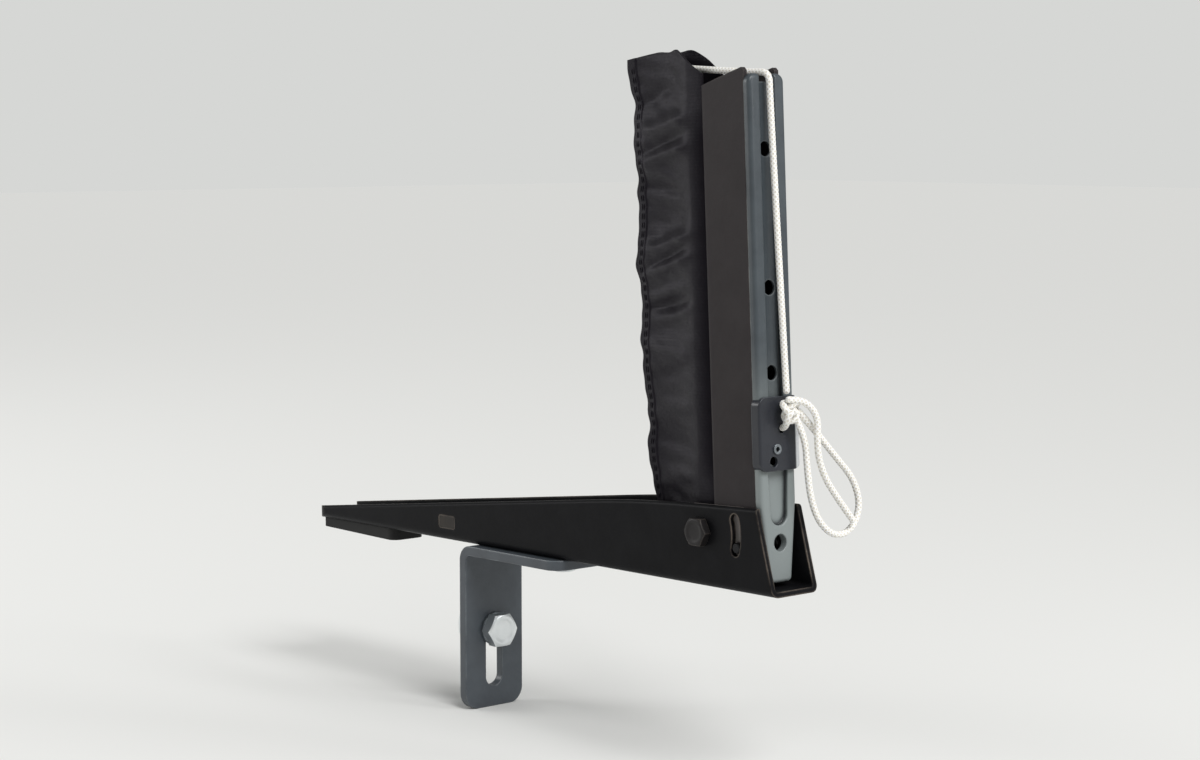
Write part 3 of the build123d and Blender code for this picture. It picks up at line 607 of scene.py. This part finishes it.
def blackSatinPolyester(look):
    # Satin-weave polyester: long floats that shine across the folds. The floats are drawn 0.55 mm apart, some
    # four times coarser than the real thread, so that they show. UV is the strip's own length and height
    # / 100 mm.
    material, tree, surface = newMaterial("black satin-weave polyester")
    flat = addNode(tree, "ShaderNodeUVMap", {"uv_map": "UVMap"}).outputs[0]
    colour = mixed(tree, noise(tree, flat, 100 / 14.0, 4.0), look["colour"], look["cloudy"])
    size = 100 / look["float"]
    twill = addNode(tree, "ShaderNodeMapping", {
        "Rotation": (0, 0, math.radians(27)), "Scale": (size, size / 4, 1)}, {"Vector": flat})
    floats = addNode(tree, "ShaderNodeTexBrick", {
        "offset": 0.5, "Scale": 1.0, "Mortar Size": 0.10, "Mortar Smooth": 1.0, "Brick Width": 1.0,
        "Row Height": 0.25, "Color1": (1, 1, 1, 1), "Color2": (0.75, 0.75, 0.75, 1), "Mortar": (0, 0, 0, 1)},
        {"Vector": twill.outputs[0]})
    weave = bump(tree, floats.outputs["Color"], 0.45, 0.06 * mm)
    slub = bump(tree, noise(tree, flat, 100 / 1.2, 3.0), 0.5, 0.12 * mm, weave)
    surface.inputs["Roughness"].default_value = 0.36
    surface.inputs["Specular IOR Level"].default_value = 0.26
    surface.inputs["Specular Tint"].default_value = linear(look["sheenTint"])
    surface.inputs["Sheen Weight"].default_value = look["sheen"]
    surface.inputs["Sheen Roughness"].default_value = 0.35
    surface.inputs["Sheen Tint"].default_value = linear(look["sheenTint"])
    onSurface(tree, {"Base Color": colour, "Normal": slub})
    return material


def whiteBraid(look):
    # Plaited polyester cord: pale strands, painted shade in the valleys between them, and a soft fuzz.
    material, tree, surface = newMaterial("white braided polyester cord")
    relief = addNode(tree, "ShaderNodeAttribute", {"attribute_name": "relief"}).outputs["Fac"]
    flat = addNode(tree, "ShaderNodeUVMap", {"uv_map": "UVMap"}).outputs[0]
    # Painted shade: the valleys between the strands are coloured grey.
    strand = mixed(tree, ramp(tree, relief, 0.70, 0.92), look["valleyShade"], look["colour"])
    fibre = addNode(tree, "ShaderNodeTexNoise", {"Scale": 60.0, "Detail": 3.0}, {"Vector": flat})
    fuzzy = addNode(tree, "ShaderNodeMix", {"data_type": "RGBA", "blend_type": "MULTIPLY", 0: 0.12},
                    {6: strand, 7: fibre.outputs["Color"]})
    surface.inputs["Roughness"].default_value = 0.72
    surface.inputs["Sheen Weight"].default_value = 0.35
    surface.inputs["Subsurface Weight"].default_value = 0.12
    surface.inputs["Subsurface Radius"].default_value = (0.001, 0.0009, 0.0007)
    surface.inputs["Subsurface Scale"].default_value = 0.4
    fuzz = bump(tree, fibre.outputs["Fac"], 0.5, 0.08 * mm)
    onSurface(tree, {"Base Color": fuzzy.outputs[2], "Normal": fuzz})
    return material


# In the coats below, the edge colour and its amount stand for wear and a painted edge highlight together.
finishes = {
    "armPaint": powderCoat("satin black powder coat on steel", {
        "colour": "#111113", "cloudy": "#161618", "wornAndLitEdge": "#857a70", "roughness": 0.40, "peel": 1.6,
        "edge": 0.85, "wearAndLight": 0.85, "shine": 0.07}),
    "postPaint": powderCoat("matt brown-black powder coat on steel", {
        "colour": "#312d2e", "cloudy": "#363233", "wornAndLitEdge": "#7f7974", "roughness": 0.46, "peel": 1.4,
        "edge": 0.60, "wearAndLight": 0.60, "shine": 0.10}),
    "tiePaint": powderCoat("brown-grey powder coat on a steel bar", {
        "colour": "#2e2b29", "cloudy": "#37332f", "wornAndLitEdge": "#5f5952", "roughness": 0.50, "peel": 1.4,
        "edge": 0.50, "wearAndLight": 0.40, "shine": 0.16}),
    "strapPaint": powderCoat("satin grey powder coat on steel", {
        "colour": "#42474d", "cloudy": "#4a5056", "wornAndLitEdge": "#8f969b", "roughness": 0.34, "peel": 1.5,
        "edge": 0.80, "wearAndLight": 0.55, "shine": 0.45}),
    # The bar's pale colour is a painted floor reflection below the slider; its corner colour is painted
    # shade.
    "barPaint": greyBarCoat("satin dark grey powder coat on steel", {
        "colour": "#3d4348", "cloudy": "#454c51", "wornAndLitEdge": "#a4abac", "roughness": 0.34, "peel": 1.4,
        "edge": 0.70, "wearAndLight": 0.55, "shine": 0.45, "pale": "#7e8585", "reflectionTop": 58.0, "reflectionFull": 22.0,
        "cornerShade": "#1f2326"}),
    # The slide's bright lip colour is a painted highlight.
    "sliderPaint": sliderCoat("blue-black paint on steel", {
        "colour": "#25272d", "cloudy": "#2d2f35", "wornAndLitEdge": "#6c7279", "roughness": 0.32, "peel": 1.2,
        "edge": 0.40, "wearAndLight": 0.7, "shine": 0.40, "highlightFrom": 5.7, "highlightTo": 6.2, "highlightColour": "#e3e6e9"}),
    # The bolt's lighter corners are wear and a painted highlight.
    "boltPaint": powderCoat("black zinc plate on a bolt, rubbed at its corners", {
        "colour": "#1d1b1c", "cloudy": "#252323", "wornAndLitEdge": "#7d7368", "roughness": 0.42, "peel": 1.2,
        "edge": 0.60, "wearAndLight": 0.8, "shine": 0.22}),
    "brightZinc": bareMetal("bright zinc plate", {
        "colour": "#dfe4e6", "cloudy": "#f1f4f5", "roughness": 0.34, "grain": (900, 900, 900)}),
    "dullZinc": bareMetal("dull zinc plate", {
        "colour": "#7d8388", "cloudy": "#969ca1", "roughness": 0.42, "grain": (900, 900, 900)}),
    "brightSteel": bareMetal("drawn steel", {
        "colour": "#9c9d9e", "cloudy": "#b4b5b6", "roughness": 0.34, "grain": (2600, 2600, 160)}),
    "blackFastener": bareMetal("black zinc plate", {
        "colour": "#242425", "cloudy": "#343436", "roughness": 0.40, "grain": (900, 900, 900)}),
    "greyNylon": plainMoulding("grey nylon", {
        "colour": "#6c6765", "cloudy": "#77726f", "roughness": 0.5}),
    "blackRubber": plainMoulding("black rubber", {
        "colour": "#141414", "cloudy": "#1c1c1c", "roughness": 0.8}),
    "satin": blackSatinPolyester({
        "colour": "#121014", "cloudy": "#19171c", "float": 0.55, "sheen": 0.06, "sheenTint": "#a69fae"}),
    "braid": whiteBraid({"colour": "#fdfcf9", "valleyShade": "#dfdacf"}),
}

finishOf = {
    "armPaint": ["arm_channel"],
    "postPaint": ["post_channel", "rod_clips"],
    "strapPaint": ["strap_bracket"],
    "barPaint": ["face_bar"],
    "sliderPaint": ["tension_slider"],
    "tiePaint": ["cross_bar"],
    "brightZinc": ["clamp_nut", "strap_rivets"],
    "dullZinc": ["clamp_washers", "slider_eyelet"],
    "brightSteel": ["net_rod", "pivot_bush", "guide_clips"],
    "blackFastener": ["pad_rivets", "pivot_nut", "guide_pin"],
    "greyNylon": ["pivot_shims"],
    "blackRubber": ["tip_pad"],
}
for finish, names in finishOf.items():
    for name in names:
        nodes[name].data.materials.clear()
        nodes[name].data.materials.append(finishes[finish])
for piece in (cordRun, cordLoop, cordTail, *knotPieces):
    piece.data.materials.append(finishes["braid"])
for piece in (sleeveCloth, sleeveStitching):
    piece.data.materials.append(finishes["satin"])
bolts["clampBolt"].data.materials.append(finishes["brightZinc"])
bolts["pivotBolt"].data.materials.append(finishes["boltPaint"])
print("finishes applied")


# Floor and light

studio = {
    "floor": "#e8e8e6", "background": "#d6d7d5", "fill": 0.45,
    "sun": {"from": (0.86, -0.12, 0.95), "strength": 2.35, "spread": 35},
    "softboxes": [
        # place, aim, width, height, watts
        ((-0.90, -0.78, 0.46), (0.08, 0.0, 0.12), 0.55, 0.40, 4.2),
        ((0.62, 0.30, 0.40), (0.12, 0.0, 0.12), 0.14, 0.40, 1.0),
    ],
}


def aimed(data, name, place, aim):
    holder = bpy.data.objects.new(name, data)
    holder.location = place
    holder.rotation_euler = (Vector(aim) - Vector(place)).to_track_quat("-Z", "Y").to_euler()
    scene.collection.objects.link(holder)


def makeStudio(settings):
    # The floor and the background behind it look equally pale; the fill light is the same colour, but dimmer
    low = cadBox[0].z
    size = 6.0
    mesh = bpy.data.meshes.new("floor")
    mesh.from_pydata([(-size, -size, low), (size, -size, low), (size, size, low), (-size, size, low)], [],
                     [(0, 1, 2, 3)])
    floor = bpy.data.objects.new("floor", mesh)
    scene.collection.objects.link(floor)
    material, tree, surface = newMaterial("pale studio floor")
    surface.inputs["Base Color"].default_value = linear(settings["floor"])
    surface.inputs["Roughness"].default_value = 0.9
    surface.inputs["Specular IOR Level"].default_value = 0.0
    mesh.materials.append(material)
    sun = bpy.data.lights.new("sun", "SUN")
    sun.energy = settings["sun"]["strength"]
    sun.angle = math.radians(settings["sun"]["spread"])
    aimed(sun, "sun", settings["sun"]["from"], (0, 0, 0))
    for number, (place, aim, width, height, watts) in enumerate(settings["softboxes"]):
        lamp = bpy.data.lights.new(f"softbox{number}", "AREA")
        lamp.shape = "RECTANGLE"
        lamp.size = width
        lamp.size_y = height
        lamp.energy = watts
        aimed(lamp, f"softbox{number}", place, aim)
    world = bpy.data.worlds.new("pale studio")
    world.use_nodes = True
    tree = world.node_tree
    seen = tree.nodes["Background"]
    seen.inputs["Color"].default_value = linear(settings["background"])
    fill = addNode(tree, "ShaderNodeBackground", {"Color": linear(settings["background"]),
                                                  "Strength": settings["fill"]})
    kind = addNode(tree, "ShaderNodeLightPath")
    both = addNode(tree, "ShaderNodeMixShader", {}, {0: kind.outputs["Is Camera Ray"], 1: fill.outputs[0],
                                                     2: seen.outputs[0]})
    tree.links.new(both.outputs[0], tree.nodes["World Output"].inputs["Surface"])
    scene.world = world
    scene.view_settings.view_transform = "Standard"


makeStudio(studio)
print("studio lit")

bpy.context.view_layer.update()
